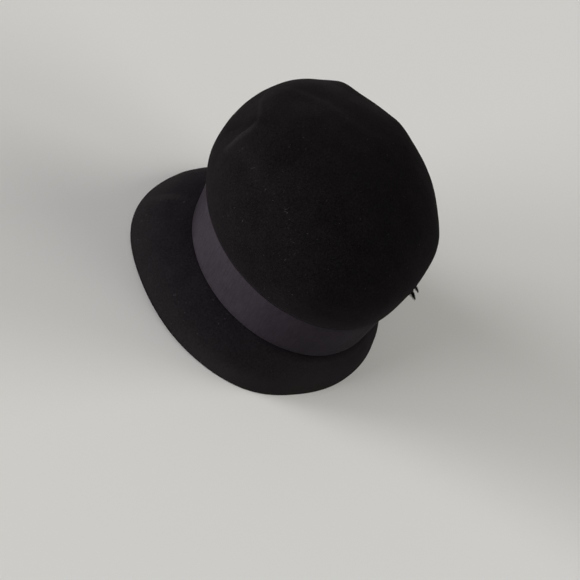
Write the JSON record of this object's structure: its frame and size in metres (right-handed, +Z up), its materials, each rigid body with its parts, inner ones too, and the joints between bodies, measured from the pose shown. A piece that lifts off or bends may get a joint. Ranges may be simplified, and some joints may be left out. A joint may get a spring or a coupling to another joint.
{
  "type": "lampshade hat",
  "caption": "Black velour felt hat with a deep dented crown, a drooping bell brim, a wide ribbed ribbon and a small dark feather spray.",
  "frame": {"origin": "on the table, below the middle of the brim's outline", "axes": "+Z up, -Y towards the wearer's front, +X towards the wearer's left"},
  "size_m": [0.2402, 0.2537, 0.2042],
  "materials": {
    "felt": "black velour felt with a short soft nap",
    "ribbon": "purple charcoal grosgrain with a fine upright rib",
    "feather": "dark feather with a slight gloss"
  },
  "bodies": {
    "root": {"crown": "felt", "brim": "felt", "band": "ribbon", "feather_trim": "feather"}
  },
  "joints": []
}
